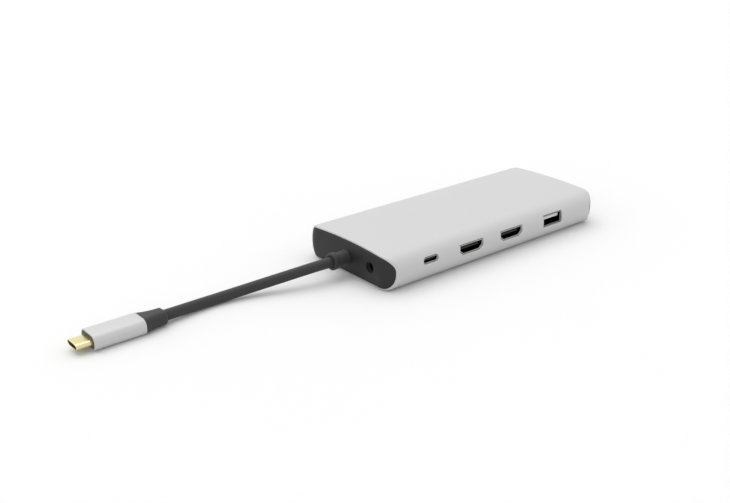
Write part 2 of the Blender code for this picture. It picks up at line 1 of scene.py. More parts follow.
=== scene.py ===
import json
import math
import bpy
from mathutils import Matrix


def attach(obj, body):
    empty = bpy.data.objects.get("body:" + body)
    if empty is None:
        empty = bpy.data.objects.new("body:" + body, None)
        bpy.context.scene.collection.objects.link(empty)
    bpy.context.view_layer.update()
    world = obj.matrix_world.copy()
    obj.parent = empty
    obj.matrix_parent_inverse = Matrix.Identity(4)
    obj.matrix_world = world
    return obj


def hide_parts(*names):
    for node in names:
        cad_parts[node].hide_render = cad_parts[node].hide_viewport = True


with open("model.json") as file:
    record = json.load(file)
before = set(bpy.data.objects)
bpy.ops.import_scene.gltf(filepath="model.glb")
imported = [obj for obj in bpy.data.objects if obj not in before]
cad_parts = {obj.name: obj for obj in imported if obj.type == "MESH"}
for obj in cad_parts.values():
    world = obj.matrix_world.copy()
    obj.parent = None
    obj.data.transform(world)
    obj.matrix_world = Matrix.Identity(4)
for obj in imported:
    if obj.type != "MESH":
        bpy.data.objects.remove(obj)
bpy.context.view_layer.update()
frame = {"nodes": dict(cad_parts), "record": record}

from types import SimpleNamespace

import bmesh
import bpy
import numpy as np
from bpy.props import FloatProperty, FloatVectorProperty, PointerProperty, StringProperty

# Detailed surfaces and finishes for a laptop docking station. X runs along the housing with the
# lead at -X, the front row of ports faces -Y, and Z is up. Shapes are worked out in millimetres
# and put into their meshes in metres.

bl_info = {
    "name": "Laptop docking station",
    "version": (1, 0, 0),
    "blender": (4, 5, 0),
    "location": "3D View > Sidebar > Dock",
    "description": "Builds a slim docking station with its ports, end caps and fixed lead",
    "category": "Object",
}

MM = 0.001

# Each port: piece name, kind, middle along X, middle height, and the side it opens on
PORTS = (
    ("usb_c", "usb_c", -45.5, 10.75, -1),
    ("hdmi_1", "hdmi", -20.0, 9.9, -1),
    ("hdmi_2", "hdmi", 6.6, 9.9, -1),
    ("usb_a_front", "usb_a", 36.2, 9.9, -1),
    ("usb_a_back_1", "usb_a", -4.0, 9.9, 1),
    ("usb_a_back_2", "usb_a", 17.0, 9.9, 1),
    ("ethernet", "ethernet", 40.0, 9.0, 1),
    ("card_reader", "card", -35.0, 8.6, 1),
)

# What a kind of port has: shell width and height, corner cut (across, up) at the bottom, corner
# radius of the opening, distance of the shell's mouth from the housing's middle plane, depth, wall
# and floor
TRAITS = ("size", "cut", "radius", "mouth", "depth", "sheet", "floor")
KINDS = {
    kind: SimpleNamespace(**dict(zip(TRAITS, values)))
    for kind, *values in (
        ("usb_c", (8.6, 2.7), None, 1.65, 29.6, 7.4, 0.28, 0.6),
        ("hdmi", (14.5, 4.5), (2.3, 1.8), 0.3, 29.6, 11.4, 0.32, 0.6),
        ("usb_a", (12.9, 5.5), None, 0.35, 29.2, 14.0, 0.3, 0.6),
        ("ethernet", (15.4, 10.6), None, 0.5, 27.6, 15.0, 1.6, 1.0),
        ("card", (26.0, 3.0), None, 0.5, 28.1, 26.0, 0.3, 0.6),
    )
}
CARD_SLOT = (25.0, 2.6)
CLEARANCE = 0.3                # between an opening's edge and the shell inside it
LEAF_SEAT = 0.36               # from a shell's outside to the middle of a leaf pressed out of it
# Distance from the housing's middle plane, in metres, where the painted shade inside a port's shell starts
# and where it is full
SHELL_PAINTED_SHADE = (0.0294, 0.0288)

ARC_STEPS = 6                  # steps of an outline's rounded corner
FLAT_REACH = 58.0              # the sleeve's rows stand 1 mm apart up to here, and follow its ends beyond
SIDE_COLUMNS = 40              # columns of the section on each side of its widest line that hold the ports
ROOM_ALONG = 1.2               # room kept round an opening for the loops that lead to it, along X
ROOM_UP = 1.0                  # and the same upwards and downwards
EDGE_TURNS = np.radians((0.0, 30.0, 60.0, 90.0))   # turns of a loop round a hole's rounded edge

CAP_BACK = 61.2                # where a cap's sides end inside the sleeve
CAP_LEVELS = 22                # rows of a cap's face from its top to its bottom
JACK_HOLE = 2.5                # radius of the hole for the audio jack
JACK_ROUND = 0.2               # rounding of that hole's edge
JACK_DEPTH = 7.4               # how far the hole runs in
JACK_BLOCK = (3.6, 3.4)        # half the block of the cap's face that the hole takes up, across and up

# The lead's middle line, in metres: out of the collar, down to the surface, and up into the plug
ROUTE = np.array((
    (-0.0780, 0.0, 0.0086), (-0.0820, 0.0001, 0.00855), (-0.0880, 0.0009, 0.0082),
    (-0.0950, 0.00255, 0.0073), (-0.1020, 0.0047, 0.0061), (-0.1090, 0.0069, 0.0049),
    (-0.1160, 0.00885, 0.0038), (-0.1230, 0.0103, 0.0030), (-0.1300, 0.0111, 0.00255),
    (-0.1370, 0.0112, 0.0025), (-0.1440, 0.0107, 0.00275), (-0.1510, 0.0099, 0.00315),
    (-0.1579, 0.0094, 0.00345),
))


# Sizes and colours a user would change

def length_property(name, description, default):
    """A length in metres."""
    return FloatProperty(name=name, description=description, default=default, unit="LENGTH")


def number_property(name, description, default):
    """A plain number."""
    return FloatProperty(name=name, description=description, default=default)


def angle_property(name, description, degrees):
    """An angle, whose default is given in degrees."""
    return FloatProperty(name=name, description=description, default=math.radians(degrees), subtype="ANGLE")


def colour_property(name, description, default):
    """A colour as sRGB hex."""
    return StringProperty(name=name, description=description, default=default)


class DockHousing(bpy.types.PropertyGroup):
    """Sizes of the aluminium sleeve and its end caps."""

    length: length_property("Sleeve length", "Length of the sleeve along X", 0.1401)
    width: length_property("Width", "Width at the widest line", 0.0603)
    height: length_property("Height", "Height at the middle of the top", 0.0173)
    widest: length_property("Widest height", "Height of the widest line", 0.009)
    crown: length_property("Crown", "Rise of the top over the full width", 0.00147)
    shoulder: length_property("Shoulder", "Reach of the upper rounding", 0.0079)
    shoulder_power: number_property("Shoulder power", "Exponent of the upper rounding", 2.5)
    foot: length_property("Foot", "Reach of the lower rounding", 0.008)
    foot_power: number_property("Foot power", "Exponent of the lower rounding", 2.45)
    corner: length_property("Plan corner", "Radius of the corners seen from above", 0.0083)
    wall: length_property("Wall", "Thickness of the sleeve", 0.0009)
    end_bow: length_property("End bow", "How far an end's top and bottom stand back", 0.0017)
    lip: length_property("Lip radius", "Rounding of the sleeve's end edge", 0.0004)
    proud: length_property("Cap proud", "How far a cap stands out of the sleeve", 0.0002)
    cap_gap: length_property("Cap gap", "Clearance between a cap and the sleeve", 0.00012)
    cap_edge: length_property("Cap edge", "Rounding of a cap's front edge", 0.00035)
    rim: length_property("Opening edge", "Rounding of a port opening's edge", 0.00014)
    jack_y: length_property("Audio jack Y", "Middle of the audio jack", -0.0170)
    jack_z: length_property("Audio jack Z", "Height of the audio jack", 0.0093)


class DockLead(bpy.types.PropertyGroup):
    """Sizes of the lead and its plug."""

    radius: length_property("Lead radius", "Radius of the lead", 0.002375)
    height: length_property("Exit height", "Height of the lead at the housing", 0.0086)
    plug_y: length_property("Plug Y", "Middle of the plug", 0.0094)
    plug_z: length_property("Plug Z", "Height of the plug's middle", 0.00345)
    plug_width: length_property("Plug width", "Width of the plug's sleeve", 0.012)
    plug_height: length_property("Plug height", "Height of the plug's sleeve", 0.0068)
    plug_corner: length_property("Plug corner", "Corner radius of the plug's sleeve", 0.0029)
    tip: length_property("Tip X", "Where the plug's metal tip ends", -0.19685)
    face: length_property("Face X", "Where the plug's sleeve starts", -0.1902)
    back: length_property("Back X", "Where the plug's sleeve ends", -0.1678)
    boot: length_property("Boot X", "Where the boot ends", -0.1573)


class DockColours(bpy.types.PropertyGroup):
    """Colours of the finishes, as sRGB hex."""

    aluminium: colour_property("Aluminium", "Anodised housing and plug", "#BFBFBF")
    caps: colour_property("End caps", "Moulded end caps", "#1C1C1C")
    lead: colour_property("Lead", "Jacket, collar and boot", "#2C2C2C")
    nickel: colour_property("Port shells", "Plated port shells", "#DAD9D6")
    gold: colour_property("Plug tip", "Gold plating of the plug's tip", "#E4DBAC")
    insulator: colour_property("Insulator", "Black port tongues", "#141414")
    pale_tongue: colour_property("Pale tongue", "Tongues of the wide USB ports", "#D4D4D4")
    floor: colour_property("Floor", "Floor of the stage", "#DFDFDF")


class DockStage(bpy.types.PropertyGroup):
    """The camera and the light."""

    camera_at: FloatVectorProperty(
        name="Camera", description="Place of the camera", subtype="XYZ",
        default=(-0.324085, -0.320934, 0.183708))
    azimuth: angle_property("Azimuth", "Turn of the camera about Z", -39.589)
    elevation: angle_property("Elevation", "Height of the camera above the horizon", 22.832)
    lens: number_property("Lens", "Focal length in millimetres", 48.776)
    key: number_property("Key light", "Strength of the overhead light in watts per square metre", 1.2)
    spread: angle_property("Spread", "Width of the overhead light in the sky", 60)
    tilt: angle_property("Tilt", "Lean of the overhead light towards the back", -22)
    sky: number_property("Sky", "Strength of the light from all round", 1.0)


def millimetres(group):
    """A property group's values by name, its lengths turned to millimetres."""
    values = {}
    for key, definition in group.bl_rna.properties.items():
        if key in ("rna_type", "name"):
            continue
        value = getattr(group, key)
        values[key] = value / MM if getattr(definition, "unit", "NONE") == "LENGTH" else value
    return SimpleNamespace(**values)


# Outlines: closed rows of (a, b) points, anticlockwise

def round_corners(corners, radius, steps):
    """Replace each corner of a closed outline by an arc tangent to both sides, steps + 1 points each.

    An arc's middle lies on the corner's bisector, r / sin(half angle) from the corner, and its
    points turn evenly from the one side to the other.
    """
    corners = np.asarray(corners, float)
    radius = np.broadcast_to(np.asarray(radius, float), len(corners))[:, None]
    back = np.roll(corners, 1, axis=0) - corners
    ahead = np.roll(corners, -1, axis=0) - corners
    back /= np.linalg.norm(back, axis=1, keepdims=True)
    ahead /= np.linalg.norm(ahead, axis=1, keepdims=True)
    half = np.arccos(np.clip((back * ahead).sum(1, keepdims=True), -1, 1)) / 2
    bisector = (back + ahead) / np.linalg.norm(back + ahead, axis=1, keepdims=True)
    middle = corners + bisector * radius / np.sin(half)
    one = corners + back * radius / np.tan(half) - middle
    two = corners + ahead * radius / np.tan(half) - middle
    turn = (math.pi - 2 * half)[:, :, None]
    t = np.linspace(0, 1, steps + 1)[None, :, None]
    arcs = (one[:, None] * np.sin((1 - t) * turn) + two[:, None] * np.sin(t * turn)) / np.sin(turn)
    return (middle[:, None] + arcs).reshape(-1, 2)


def rectangle(width, height):
    """The four corners of a rectangle about the origin."""
    w, h = width / 2, height / 2
    return np.array(((-w, -h), (w, -h), (w, h), (-w, h)))


def port_corners(width, height, cut):
    """A rectangle's corners, with the two lower ones cut off by (across, up) when cut is given."""
    if cut is None:
        return rectangle(width, height)
    w, h = width / 2, height / 2
    lower_left, lower_right = (-w + cut[0], -h), (w - cut[0], -h)
    return np.array((lower_left, lower_right, (w, -h + cut[1]), (w, h), (-w, h), (-w, -h + cut[1])))


def outward(points):
    """Unit normals of a closed outline: the line between a point's neighbours, turned outwards."""
    along = np.roll(points, -1, axis=0) - np.roll(points, 1, axis=0)
    normals = np.stack([along[:, 1], -along[:, 0]], axis=1)
    normals /= np.linalg.norm(normals, axis=1, keepdims=True)
    area = (points[:, 0] * np.roll(points[:, 1], -1) - np.roll(points[:, 0], -1) * points[:, 1]).sum()
    return normals if area > 0 else -normals


def outline_at(outline, angles, steps):
    """Points of a star-shaped outline at these angles about the origin, taken in its own proportions.

    Where an arc of the outline is shorter than the spacing of the angles, the three nearest
    angles are moved to its start, middle and end, so that small corners keep their shape.
    """
    half = np.abs(outline).max(axis=0)
    own = np.arctan2(outline[:, 1] / half[1], outline[:, 0] / half[0])
    angles = np.array(angles, float)
    spacing = 2 * math.pi / len(angles)
    direction = 1 if np.sign(np.sin(angles[1] - angles[0])) > 0 else -1
    for arc in own.reshape(-1, steps + 1):
        spread = abs(math.remainder(arc[-1] - arc[0], 2 * math.pi))
        if spread > 2.5 * spacing:
            continue
        middle = int(np.argmin(np.abs(np.angle(np.exp(1j * (angles - arc[steps // 2]))))))
        places = (middle + direction * np.array((-1, 0, 1))) % len(angles)
        angles[places] = arc[[0, steps // 2, -1]]
    order = np.argsort(own)
    points = [np.interp(angles, own[order], outline[order, k], period=2 * math.pi) for k in (0, 1)]
    return np.stack(points, axis=1)


# Surfaces

def grid_faces(index):
    """Quads between neighbouring entries of a table of vertex numbers whose rows are closed loops."""
    table = np.hstack([index, index[:, :1]])
    quads = np.stack([table[:-1, :-1], table[:-1, 1:], table[1:, 1:], table[1:, :-1]], axis=-1)
    return quads.reshape(-1, 4)


def carried(rows, closed=False):
    """A surface from rows of loops, shape (rows, loop, 3): ends shut, unless the rows close on themselves."""
    rows = np.asarray(rows, float)
    index = np.arange(rows.shape[0] * rows.shape[1]).reshape(rows.shape[:2])
    ring = np.vstack([index, index[:1]]) if closed else index
    faces = grid_faces(ring).tolist()
    if not closed:
        faces += [index[0].tolist(), index[-1].tolist()]
    return rows.reshape(-1, 3), faces


def joined(parts):
    """Several (points, faces) surfaces as one."""
    points, faces, start = [], [], 0
    for part_points, part_faces in parts:
        points.append(part_points)
        faces += [[start + k for k in face] for face in part_faces]
        start += len(part_points)
    return np.vstack(points), faces


def turned(profile, middle, segments=64):
    """Turn a profile of (x, radius) about a line along X: y = cy + r cos(a), z = cz + r sin(a)."""
    profile = np.asarray(profile, float)
    a = np.linspace(0, 2 * math.pi, segments, endpoint=False)
    rows = np.empty((len(profile), segments, 3))
    rows[:, :, 0] = profile[:, :1]
    rows[:, :, 1] = middle[0] + profile[:, 1:] * np.cos(a)
    rows[:, :, 2] = middle[1] + profile[:, 1:] * np.sin(a)
    return rows


def softened(profile, radii, steps=4):
    """An open profile with its inner corners rounded to these radii."""
    profile = np.asarray(profile, float)
    radii = np.concatenate([[1e-4], np.broadcast_to(np.asarray(radii, float), len(profile) - 2), [1e-4]])
    return round_corners(profile, radii, steps)[steps:-steps]


def placed(outline, axis, level, middle=(0.0, 0.0)):
    """An outline as a loop in space: across X ("y") or across Y ("x") at this level, about middle."""
    a, b = outline[:, 0] + middle[0], outline[:, 1] + middle[1]
    level = np.broadcast_to(level, len(outline))
    return np.stack([level, a, b], axis=1) if axis == "x" else np.stack([a, level, b], axis=1)


def piece(name, surface, material, stands_for=(), sharp=40.0):
    """Make an object of (points, faces), its normals outwards, riding on the root body."""
    points, faces = surface
    mesh = bpy.data.meshes.new(name)
    mesh.from_pydata((np.asarray(points) * MM).tolist(), [], faces)
    bm = bmesh.new()
    bm.from_mesh(mesh)
    bmesh.ops.recalc_face_normals(bm, faces=bm.faces)
    bm.to_mesh(mesh)
    bm.free()
    mesh.shade_smooth()
    mesh.set_sharp_from_angle(angle=math.radians(sharp))
    mesh.materials.append(material)
    thing = bpy.data.objects.new(name, mesh)
    bpy.context.scene.collection.objects.link(thing)
    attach(thing, "root")
    if stands_for:
        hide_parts(*stands_for)
    return thing


# Materials

def linear(hex_colour):
    """An sRGB hex colour as linear RGBA."""
    parts = np.array([int(hex_colour[i:i + 2], 16) for i in (1, 3, 5)]) / 255
    lin = np.where(parts <= 0.04045, parts / 12.92, ((parts + 0.055) / 1.055) ** 2.4)
    return (*lin.tolist(), 1.0)


def add_node(tree, kind, settings=None, links=None):
    """Add a node of this kind, set its inputs and attributes, and link its inputs."""
    made = tree.nodes.new(kind)
    for key, value in (settings or {}).items():
        if isinstance(key, int) or key in made.inputs:
            made.inputs[key].default_value = value
        else:
            setattr(made, key, value)
    for key, source in (links or {}).items():
        tree.links.new(source, made.inputs[key])
    return made


def grained(name, light, dark, patch, rough, grain, depth, metallic=0.0, sockets=None):
    """A finish: a soft drift between two colours, a fine grain in its relief, an uneven roughness.

    patch is the size of the drift and grain that of the relief, in millimetres; depth is the
    relief's height in millimetres, and rough the range of the roughness.
    """
    made = bpy.data.materials.get(name)
    if made:
        return made
    made = bpy.data.materials.new(name)
    made.use_nodes = True
    tree = made.node_tree
    shader = tree.nodes["Principled BSDF"]
    shader.inputs["Metallic"].default_value = metallic
    for key, value in (sockets or {}).items():
        shader.inputs[key].default_value = value
    place = add_node(tree, "ShaderNodeTexCoord").outputs["Object"]
    drift = add_node(tree, "ShaderNodeTexNoise", {"Scale": 1000 / patch, "Detail": 3.0, "Roughness": 0.5},
                     {"Vector": place})
    mix = add_node(tree, "ShaderNodeMix", {"data_type": "RGBA"}, {"Factor": drift.outputs["Fac"]})
    mix.inputs[6].default_value = linear(dark)
    mix.inputs[7].default_value = linear(light)
    tree.links.new(mix.outputs[2], shader.inputs["Base Color"])
    fine = add_node(tree, "ShaderNodeTexNoise", {"Scale": 1000 / grain, "Detail": 2.0, "Roughness": 0.6},
                    {"Vector": place})
    spread = add_node(tree, "ShaderNodeMapRange", {"To Min": rough[0], "To Max": rough[1]},
                      {"Value": fine.outputs["Fac"]})
    tree.links.new(spread.outputs["Result"], shader.inputs["Roughness"])
    bump = add_node(tree, "ShaderNodeBump", {"Strength": 1.0, "Distance": depth * MM},
                    {"Height": fine.outputs["Fac"]})
    tree.links.new(bump.outputs["Normal"], shader.inputs["Normal"])
    return made


def colours():
    """The scene's finish colours."""
    return bpy.context.scene.dock_colours


def anodised_aluminium():
    """Bead-blasted and clear-anodised extrusion: an even satin grey with a barely visible sparkle."""
    # Blast marks are about 0.08 mm; they are drawn at 0.3 mm so that they show at all
    return grained("blasted_anodised_aluminium", colours().aluminium, "#BCBCBC", 30.0, (0.46, 0.54), 0.3,
                   0.0012, metallic=0.25)


def moulded_abs():
    """Spark-textured moulded ABS: a dark grey that scatters light evenly."""
    return grained("moulded_abs", colours().caps, "#181818", 12.0, (0.48, 0.60), 0.35, 0.006,
                   sockets={"IOR": 1.54, "Specular IOR Level": 0.35})


def lead_elastomer():
    """Extruded thermoplastic elastomer: satin, slightly soft-looking, with a faint powdery drift."""
    return grained("extruded_elastomer", colours().lead, "#282828", 6.0, (0.50, 0.62), 0.25, 0.005,
                   sockets={"IOR": 1.5, "Specular IOR Level": 0.35, "Sheen Weight": 0.08})


def nickel_plate(name="bright_nickel_plate"):
    """Nickel-plated drawn steel: bright, with a faint drawing haze."""
    return grained(name, colours().nickel, "#CBCAC6", 2.5, (0.26, 0.38), 0.2, 0.0015, metallic=1.0)


def port_plate_painted_shade():
    """The same plating on a port's shell, with painted shade: bright at the mouth, and painted dark just
    inside it, where the shell lies in shadow.
    """
    made = nickel_plate("port_shell_plate_painted_shade")
    tree = made.node_tree
    shader = tree.nodes["Principled BSDF"]
    bright = tree.nodes["Mix"].outputs[2]
    place = add_node(tree, "ShaderNodeTexCoord").outputs["Object"]
    apart = add_node(tree, "ShaderNodeSeparateXYZ", None, {"Vector": place})
    level = add_node(tree, "ShaderNodeMath", {"operation": "ABSOLUTE"}, {0: apart.outputs["Y"]})
    inside = add_node(tree, "ShaderNodeMapRange", {"From Min": SHELL_PAINTED_SHADE[0], "From Max": SHELL_PAINTED_SHADE[1]},
                      {"Value": level.outputs[0]})
    # Painted shade: the plating's colour is mixed towards #222222 inside the shell, where it lies in shadow
    shade = add_node(tree, "ShaderNodeMix", {"data_type": "RGBA", 7: linear("#222222")},
                     {"Factor": inside.outputs["Result"], 6: bright})
    tree.links.new(shade.outputs[2], shader.inputs["Base Color"])
    return made


def gold_plate():
    """Flash gold on stamped steel: pale yellow and smooth."""
    return grained("flash_gold_plate", colours().gold, "#DACF98", 3.0, (0.24, 0.32), 0.2, 0.0008,
                   metallic=1.0)


def contact_gold():
    """Gold on the contacts, a deeper yellow than the tip's flash."""
    return grained("contact_gold", "#E3C565", "#C9A646", 0.8, (0.25, 0.35), 0.15, 0.0006, metallic=1.0)


def contact_insulator():
    """Black glass-filled liquid-crystal polymer of the port tongues."""
    return grained("black_lcp", colours().insulator, "#0C0C0C", 1.5, (0.45, 0.6), 0.2, 0.003)


def pale_insulator():
    """Pale moulded nylon of the wide USB ports' tongues."""
    return grained("pale_insulator", colours().pale_tongue, "#C6C6C6", 2.0, (0.4, 0.55), 0.2, 0.003)


def moulded_olive():
    """Dark olive-grey moulded insert in the plug's face."""
    return grained("moulded_olive", "#6E7064", "#5C5E54", 2.0, (0.4, 0.5), 0.25, 0.004)


def frame_finishes():
    """Finishes of the CAD nodes that stay as they are, by the record's slot."""
    finishes = {"contact_insulator": contact_insulator()}
    for slot, name, light, dark, patch, rough, grain, depth, metallic in (
        # Moulded chassis tray, darker than the caps
        ("chassis_plastic", "chassis_abs", "#2C2C2E", "#242426", 10.0, (0.5, 0.65), 0.4, 0.008, 0.0),
        # Green solder mask over woven glass laminate
        ("board_laminate", "solder_mask_laminate", "#1D5A3A", "#14442B", 4.0, (0.28, 0.4), 0.5, 0.006, 0.0),
        # Blue-white zinc on small pan-head screws
        ("zinc_plated_steel", "blue_white_zinc", "#C4C6CA", "#A7A9AE", 1.0, (0.28, 0.42), 0.2, 0.002, 1.0),
        # Transfer-moulded epoxy of the chips
        ("chip_epoxy", "moulded_chip_epoxy", "#1E1E1F", "#161617", 1.5, (0.5, 0.62), 0.15, 0.003, 0.0),
        # Pressed and sintered ferrite, dull and dark
        ("ferrite", "sintered_ferrite", "#3A3836", "#2C2A29", 0.8, (0.6, 0.75), 0.2, 0.01, 0.0),
        # Tinned can of the capacitor and the crystal
        ("tinned_can", "bright_tin_plate", "#D0D0CE", "#B4B4B2", 2.0, (0.22, 0.35), 0.25, 0.002, 1.0),
        # Soft silicone gap filler with a slight tack
        ("thermal_pad_silicone", "silicone_gap_filler", "#8FA0B8", "#7D8DA4", 3.0, (0.55, 0.7), 0.4, 0.01,
         0.0),
        # Mill-finish aluminium sheet, rolled
        ("bare_aluminium", "mill_aluminium", "#CFCFD0", "#BDBDBF", 5.0, (0.3, 0.45), 0.3, 0.002, 1.0),
        # Coloured insulation of the copper cores
        ("core_bundle", "core_insulation", "#8C2C24", "#701F19", 1.0, (0.45, 0.55), 0.2, 0.003, 0.0),
        # Grey moulding that fills the plug behind its board
        ("moulded_grey_plastic", "plug_moulding", "#4A4A46", "#3E3E3A", 2.0, (0.5, 0.6), 0.3, 0.005, 0.0),
    ):
        finishes[slot] = grained(name, light, dark, patch, rough, grain, depth, metallic)
    return finishes


# Housing

def housing_section(size, columns=76):
    """The housing's section as 2 x columns points (y, z) and their normals, anticlockwise from +Y.

    A rounding is a superellipse, y = w - b + b cos(t)^(2/n) and z = zw + h sin(t)^(2/n). The top
    adds a crown c (1 - (y/w)^2) sin(t)^2, so that it runs into the shoulder without a crease. The
    points are spaced by length, closely on the roundings and loosely on the flats.
    """
    w, zw = size.width / 2, size.widest
    t = np.linspace(0, math.pi / 2, 500)
    base = size.height - size.crown
    # Spacing of the points 0.42 mm up to 7 mm in from the side, and 2 mm from 12 mm in
    distances, spacings = (7.0, 12.0), (0.42, 2.0)

    def rounding(reach, rise, power):
        y = w - reach + reach * np.maximum(np.cos(t), 0) ** (2 / power)
        return y, rise * np.sin(t) ** (2 / power)

    y_up, z_up = rounding(size.shoulder, base - zw, size.shoulder_power)
    z_up = zw + z_up + size.crown * (1 - (y_up / w) ** 2) * np.sin(t) ** 2
    y_top = np.linspace(y_up[-1], -y_up[-1], 401)[1:-1]
    z_top = base + size.crown * (1 - (y_top / w) ** 2)
    y_down, z_down = rounding(size.foot, zw, size.foot_power)
    y_base = np.linspace(-y_down[-1], y_down[-1], 401)[1:-1]
    upper = np.stack([
        np.concatenate([y_up, y_top, -y_up[::-1]]),
        np.concatenate([z_up, z_top, z_up[::-1]]),
    ], axis=1)
    lower = np.stack([
        np.concatenate([-y_down, y_base, y_down[::-1]]),
        np.concatenate([zw - z_down, np.zeros(len(y_base)), zw - z_down[::-1]]),
    ], axis=1)
    halves = []
    for half in (upper, lower):
        step = np.linalg.norm(np.diff(half, axis=0), axis=1)
        away = w - np.abs(half[1:, 0] + half[:-1, 0]) / 2
        travel = np.concatenate([[0], np.cumsum(step / np.interp(away, distances, spacings))])
        wanted = np.linspace(0, travel[-1], columns + 1)[:-1]
        halves.append(np.stack([np.interp(wanted, travel, half[:, k]) for k in (0, 1)], axis=1))
    points = np.vstack(halves)
    return points, outward(points)


def set_back(y, z, size):
    """How far an end stands back: R - sqrt(R^2 - d^2) at its plan corner, and b u^2 from its bow.

    d is how far y lies past the start of the corner, and u runs from -1 at the bottom to 1 at the top.
    """
    past = np.clip(np.abs(y) - (size.width / 2 - size.corner), 0, size.corner)
    up = 2 * z / size.height - 1
    return size.corner - np.sqrt(size.corner ** 2 - past ** 2) + size.end_bow * up ** 2


def side_at(points, side):
    """A function giving a section's y at height z, on the side of this sign."""
    on_side = points[points[:, 1].argsort()]
    on_side = on_side[on_side[:, 0] * side > points[:, 0].max() - 9.0]
    return lambda z: np.interp(z, on_side[:, 1], on_side[:, 0])


def block_loop(rows, columns, count):
    """The rows and columns of the vertices round a block of a grid, in order; columns wrap at count."""
    i0, i1 = rows
    j0, j1 = columns
    down, along = np.arange(i0, i1), np.arange(j0, j1)
    i = np.concatenate([down, np.full(len(along), i1), np.arange(i1, i0, -1), np.full(len(along), i0)])
    j = np.concatenate([np.full(len(down), j0), along, np.full(len(down), j1), np.arange(j1, j0, -1)])
    return i, j % count


def port_opening(kind):
    """A port's opening as a rounded outline: the shell's size with its clearance, or the card slot."""
    around_shell = (kind.size[0] + 2 * CLEARANCE, kind.size[1] + 2 * CLEARANCE)
    size = CARD_SLOT if kind is KINDS["card"] else around_shell
    return round_corners(port_corners(*size, kind.cut), kind.radius, ARC_STEPS)


def sleeve_surface(size):
    """The aluminium sleeve as one closed skin: out along X, over one lip, back inside, over the other.

    The lip is a quarter circle of radius r: inset e = r (1 - cos a) and setback r (1 - sin a) from
    the rounded plan line. Each port opening replaces a block of the grid by loops that change from
    the block's edge to the opening's outline, round its edge, and run through the wall.
    """
    points, normals = housing_section(size)
    count = len(points)
    flat = np.arange(-FLAT_REACH, FLAT_REACH + 0.5)
    stretch = np.array((0.2, 0.4, 0.6, 0.8, 0.95, 1.0))
    ends = np.full(len(stretch), FLAT_REACH)
    base = np.concatenate([-ends, flat, ends])
    share = np.concatenate([-stretch[::-1], np.zeros(len(flat)), stretch])

    def skin(inset, back):
        ring = points - normals * inset
        reach = size.length / 2 - back - set_back(ring[:, 0], ring[:, 1], size)
        rows = np.empty((len(base), count, 3))
        rows[:, :, 0] = base[:, None] + share[:, None] * (reach - FLAT_REACH)
        rows[:, :, 1:] = ring
        return rows

    chamfer = 0.12
    inner_back = 0.3
    turn = np.linspace(0, math.pi / 2, 7)[1:]
    flat_insets = np.linspace(size.lip, size.wall - chamfer, 4)[1:]
    insets = np.concatenate([size.lip * (1 - np.cos(turn)), flat_insets, [size.wall]])
    backs = np.concatenate([size.lip * (1 - np.sin(turn)), np.zeros(len(flat_insets)), [chamfer]])
    ring = points[None] - normals[None] * insets[:, None, None]
    lip = np.empty((len(insets), count, 3))
    lip[:, :, 0] = size.length / 2 - backs[:, None] - set_back(ring[:, :, 0], ring[:, :, 1], size)
    lip[:, :, 1:] = ring
    far_lip = lip[::-1] * np.array((-1, 1, 1))
    outer, inner = skin(0.0, size.lip), skin(size.wall, inner_back)
    rows = np.concatenate([outer, lip, inner[::-1], far_lip])
    index = np.arange(rows.shape[0] * count).reshape(rows.shape[:2])
    inner_row = len(outer) + len(lip) + len(inner) - 1
    keep = np.ones((rows.shape[0], count), bool)
    all_points, all_faces = [rows.reshape(-1, 3)], []
    total = rows.shape[0] * count
    inner_ring = points - normals * size.wall

    for _, kind_name, x, z, side in PORTS:
        outline = port_opening(KINDS[kind_name])
        half_x, half_z = np.abs(outline).max(axis=0)
        i0 = int(np.floor(x - half_x - ROOM_ALONG) + FLAT_REACH) + len(stretch)
        i1 = int(np.ceil(x + half_x + ROOM_ALONG) + FLAT_REACH) + len(stretch)
        middle = 0 if side > 0 else count // 2
        heights = points[(middle + np.arange(-SIDE_COLUMNS, SIDE_COLUMNS + 1)) % count, 1]
        low, high = heights <= z - half_z - ROOM_UP, heights >= z + half_z + ROOM_UP
        before, after = (low, high) if side > 0 else (high, low)
        j0 = middle + int(np.flatnonzero(before)[-1]) - SIDE_COLUMNS
        j1 = middle + int(np.flatnonzero(after)[0]) - SIDE_COLUMNS
        i, j = block_loop((i0, i1), (j0, j1), count)
        columns = np.arange(j0, j1) % count
        keep[i0:i1, columns] = False
        keep[inner_row - i1:inner_row - i0, columns] = False
        edge = outer[i, j][:, (0, 2)]
        inner_edge = inner[i, j][:, (0, 2)]
        angles = np.arctan2((edge[:, 1] - z) / half_z, (edge[:, 0] - x) / half_x)
        rim = outline_at(outline, angles, ARC_STEPS) + (x, z)
        away = outward(rim)
        wall_y, inner_y = side_at(points, side), side_at(inner_ring, side)
        wide = rim + away * size.rim
        loops = []
        for t in (0.35, 0.65, 0.88, 0.97):
            here = edge + (wide - edge) * t
            loops.append(placed(here, "y", wall_y(here[:, 1])))
        for a in EDGE_TURNS:
            here = rim + away * size.rim * (1 - math.sin(a))
            loops.append(placed(here, "y", wall_y(here[:, 1]) - side * size.rim * (1 - math.cos(a))))
        for here in (rim, (rim + inner_edge) / 2):
            loops.append(placed(here, "y", inner_y(here[:, 1])))
        loops = np.array(loops)
        fresh = total + np.arange(loops.shape[0] * loops.shape[1]).reshape(loops.shape[:2])
        total += fresh.size
        all_points.append(loops.reshape(-1, 3))
        table = np.vstack([index[i, j][None], fresh, index[inner_row - i, j][None]])
        all_faces += grid_faces(table).tolist()

    wrapped = np.vstack([index, index[:1]])
    quads = grid_faces(wrapped).reshape(rows.shape[0], count, 4)
    all_faces += quads[keep].tolist()
    return np.vstack(all_points), all_faces


